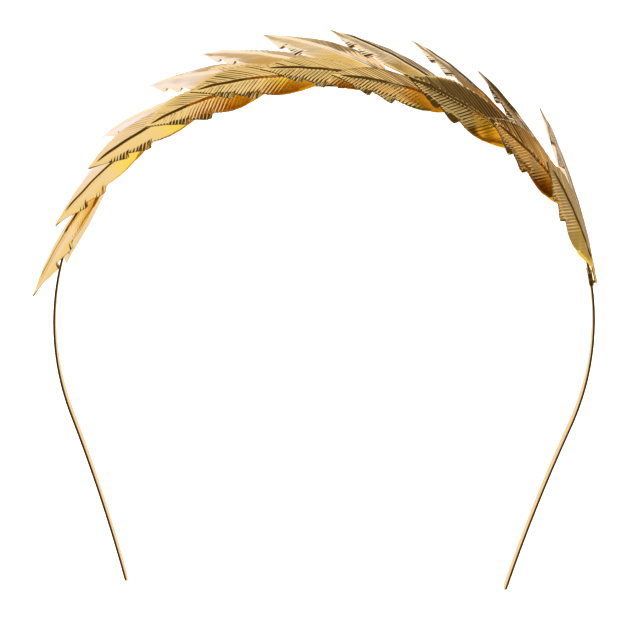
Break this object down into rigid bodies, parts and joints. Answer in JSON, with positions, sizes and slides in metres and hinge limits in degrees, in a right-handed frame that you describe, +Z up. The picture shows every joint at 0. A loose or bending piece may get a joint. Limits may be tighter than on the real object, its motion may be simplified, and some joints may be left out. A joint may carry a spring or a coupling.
{
  "type": "laurel leaf headband",
  "caption": "Open gilt metal headband with paired front and rear rows of notched, ribbed laurel leaves over its crown, all pointing towards one end.",
  "frame": {"origin": "middle of the box's footprint, on the surface that the headband lies on", "axes": "+X across the head towards the end that the leaves point away from, +Y from the band's open ends towards the crown of the arch, +Z up, towards the front row of leaves"},
  "size_m": [0.1452, 0.1592, 0.0573],
  "materials": {
    "band": "polished gilt",
    "leaf": "polished gilt, finely ribbed"
  },
  "bodies": {
    "root": {"band": "band", "front_leaf_01": "leaf", "front_leaf_02": "leaf", "front_leaf_03": "leaf", "front_leaf_04": "leaf", "front_leaf_05": "leaf", "front_leaf_06": "leaf", "front_leaf_07": "leaf", "front_leaf_08": "leaf", "front_leaf_09": "leaf", "front_leaf_10": "leaf", "rear_leaf_01": "leaf", "rear_leaf_02": "leaf", "rear_leaf_03": "leaf", "rear_leaf_04": "leaf", "rear_leaf_05": "leaf", "rear_leaf_06": "leaf", "rear_leaf_07": "leaf", "rear_leaf_08": "leaf", "rear_leaf_09": "leaf", "rear_leaf_10": "leaf"}
  },
  "joints": []
}
